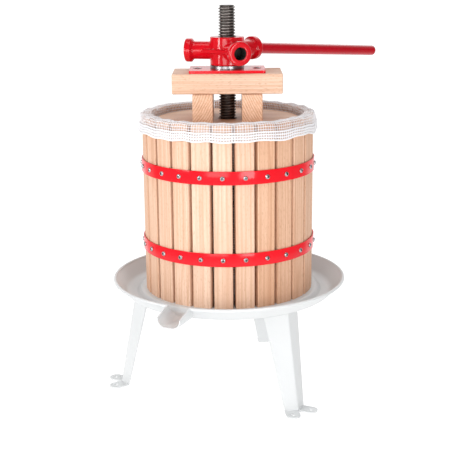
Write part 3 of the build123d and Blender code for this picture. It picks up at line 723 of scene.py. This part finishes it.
def wood():
    """Each stick of beech gets its own place in a log and its own tone."""
    draw = np.random.default_rng(7)
    for k in range(SLATS):
        angle = FIRST_SLAT + k * 360 / SLATS
        side, depth = draw.uniform(-0.05, 0.05), draw.uniform(0.03, 0.09) * draw.choice([-1, 1])
        rings, ring = draw.uniform(0.5, 0.9), draw.uniform(2.0, 3.4) * MM
        shade, warm = BOARD_TONES_AND_LIGHT.get(k, (draw.uniform(0.94, 1.02), draw.uniform(-0.3, 1.3)))
        material = beech(f"beech_slat_{k + 1:02d}", (0, 0, 1), along(angle), (side, depth - FACE_R), k + 1,
                         rings=rings, ring=ring, shade=shade, warm=warm)
        paint(f"slat_{k + 1:02d}", material)
    level, across = along(STACK_TURN), outward(STACK_TURN)
    paint("crossbeam", beech("beech_beam", level, across, (0.05, 0.40), 31, rings=0.6, shade=1.02))
    for name, seed in (("press_disc_front", 32), ("press_disc_back", 33)):
        pith = (0.02 * (seed - 32), 0.35)
        paint(name, beech("beech_" + name, level, across, pith, seed, rings=0.5, warm=0.6))
    for name, seed, side in (("block_left", 34, -1), ("block_right", 35, 1)):
        # the blocks' end grain slants in at the top, towards the spindle on both
        pith = (side * (BLOCK_OFFSET + 0.085), 0.467)
        paint(name, beech("beech_" + name, across, level, pith, seed, rings=1.0, ring=3.3 * MM,
                          shade=1.1, warm=0.9, late_wood=(0.33, 0.125, 0.05)))


def frame_materials():
    """The CAD nodes that stay in view, each with its material."""
    enamel = white_enamel()
    plated = zinc()
    for node in ("tray", "leg_right", "leg_left", "leg_back"):
        paint(node, enamel)
    for node in ("leg_bolts", "leg_nuts", "spreader_plate", "spindle_lower_nut", "spindle_washer",
                 "spindle_upper_nut"):
        paint(node, plated)
    # a darker copy of the zinc, for the thrust washer and the bearing plate's screws
    darker_zinc = zinc("zinc_darker", 0.36)
    paint("thrust_washer", darker_zinc)
    red = gloss_paint("red_paint", (0.74, 0.009, 0.018), (0.64, 0.006, 0.013), 0.14, 0.000006)
    cast = gloss_paint("red_cast_iron", (0.56, 0.004, 0.011), (0.44, 0.0025, 0.008), 0.11, 0.00001,
                       cast=0.00007, gloss=0.45)
    bar = gloss_paint("red_bar_paint", (0.44, 0.003, 0.012), (0.38, 0.002, 0.009), 0.17, 0.000005)
    paint("bearing_plate", red)
    paint("handle_bar", bar)
    return red, cast, plated, darker_zinc


# ---------------------------------------------------------------- studio


def white_floor():
    """A pale floor under the press. Gloss sees it white only near the press and behind it."""
    size = 30
    floor = mesh_object("floor", [(-size, -size, 0), (size, -size, 0), (size, size, 0), (-size, size, 0)],
                        [(0, 1, 2, 3)], None, smooth=False)
    floor.location.z = -0.2 * MM
    s = Shader("floor_white", Base_Color=(0.2, 0.2, 0.2, 1), Roughness=0.6, Specular_IOR_Level=0.1)
    front = s.node("ShaderNodeVectorMath", {0: s.coords, 1: outward(STACK_TURN)}, operation="DOT_PRODUCT")
    ahead = front.outputs["Value"]
    away = s.node("ShaderNodeVectorMath", {0: s.coords}, operation="LENGTH").outputs["Value"]
    side = s.remap(s.math("DIVIDE", ahead, away), -0.75, -0.3, 0, 1)
    far = s.math("MULTIPLY", side, s.remap(away, 0.45, 1.0, 0, 0.9))
    gloss = s.node("ShaderNodeLightPath").outputs["Is Glossy Ray"]
    glow = s.math("SUBTRACT", 0.97, s.math("MULTIPLY", gloss, far))
    s.set(Emission_Color=(1, 1, 1, 1), Emission_Strength=glow)
    floor.data.materials.clear()
    floor.data.materials.append(s.material)


def backdrop():
    """A white backdrop behind the press and a dim room in front of it, which only its gloss shows."""
    world = bpy.data.worlds.new("sky")
    world.use_nodes = True
    bpy.context.scene.world = world
    nodes, links = world.node_tree.nodes, world.node_tree.links
    sky = nodes["Background"]
    sky.inputs["Color"].default_value = (1, 1, 1, 1)
    path = nodes.new("ShaderNodeLightPath")
    ways = nodes.new("ShaderNodeTexCoord")
    front = nodes.new("ShaderNodeVectorMath")
    front.operation = "DOT_PRODUCT"
    links.new(ways.outputs["Generated"], front.inputs[0])
    front.inputs[1].default_value = outward(STACK_TURN)
    room = nodes.new("ShaderNodeMapRange")
    links.new(front.outputs["Value"], room.inputs["Value"])
    for name, value in (("From Min", -0.75), ("From Max", -0.3), ("To Min", 1.0), ("To Max", 0.06)):
        room.inputs[name].default_value = value
    dim = nodes.new("ShaderNodeMix")
    links.new(path.outputs["Is Glossy Ray"], dim.inputs[0])
    dim.inputs[2].default_value = 0.6
    links.new(room.outputs[0], dim.inputs[3])
    seen = nodes.new("ShaderNodeMix")
    links.new(path.outputs["Is Camera Ray"], seen.inputs[0])
    links.new(dim.outputs[0], seen.inputs[2])
    seen.inputs[3].default_value = 1.0
    links.new(seen.outputs[0], sky.inputs["Strength"])


def lamps():
    """Five soft lights: a large key and a narrow card at the front left, a standing one at the front
    right, one behind and one above."""
    def panel(name, angle, distance, middle, width, height, power, aim=0.3):
        """A soft light at an angle from the camera's own, facing the press."""
        light = bpy.data.lights.new(name, "AREA")
        light.shape, light.size, light.size_y, light.energy = "RECTANGLE", width, height, power
        lamp = bpy.data.objects.new(name, light)
        bpy.context.scene.collection.objects.link(lamp)
        lamp.location = outward(STACK_TURN + angle) * distance + Vector((0, 0, middle))
        lamp.rotation_euler = (Vector((0, 0, aim)) - lamp.location).to_track_quat("-Z", "Y").to_euler()
        lamp.visible_camera = False

    panel("key", -16, 1.9, 0.42, 0.9, 0.7, 8.2)
    panel("card", -56, 1.2, 0.62, 0.28, 0.5, 6.4, aim=0.4)
    panel("right", 24, 1.05, 0.38, 0.24, 0.5, 3.6, aim=0.35)
    panel("back", 170, 2.0, 1.6, 1.6, 1.0, 7)
    panel("top", 0, 0.35, 2.1, 1.1, 1.1, 7)
    bpy.context.scene.view_settings.view_transform = "Standard"


def camera():
    """The view of the press: from STACK_TURN round, 1.56 m away and looking down on the tray."""
    away, right = outward(STACK_TURN), along(STACK_TURN)
    up = Vector((0, 0, 1))
    yaw, pitch, roll = (math.radians(d) for d in (0.124, 14.71, 0.426))
    ahead = right * math.sin(yaw) - away * math.cos(yaw)
    right = right * math.cos(yaw) + away * math.sin(yaw)
    forward = ahead * math.cos(pitch) - up * math.sin(pitch)
    top = ahead * math.sin(pitch) + up * math.cos(pitch)
    x = right * math.cos(roll) - top * math.sin(roll)
    y = right * math.sin(roll) + top * math.cos(roll)
    lens = bpy.data.cameras.new("camera")
    lens.sensor_width, lens.lens = 36, 83.26
    lens.clip_end = 60
    seen = bpy.data.objects.new("camera", lens)
    turned = Matrix((x, y, -forward)).transposed().to_4x4()
    turned.translation = away * 1.555 + along(STACK_TURN) * 0.00587 + up * 0.6319
    seen.matrix_world = turned
    bpy.context.scene.collection.objects.link(seen)
    bpy.context.scene.camera = seen


red, cast, plated, darker_zinc = frame_materials()
wood()
spindle(oiled_steel())
# the near-black material that paints shade into bores, screw recesses and the countersinks' gaps
recess = shade_black("painted_shade_black")
screws(plated, darker_zinc, recess)
hoop("hoop_top", red)
hoop("hoop_bottom", red)
hub(cast, recess)
bag(mesh_cloth("white_mesh"), mesh_cloth("white_hem", 0.6))
white_floor()
backdrop()
lamps()
camera()
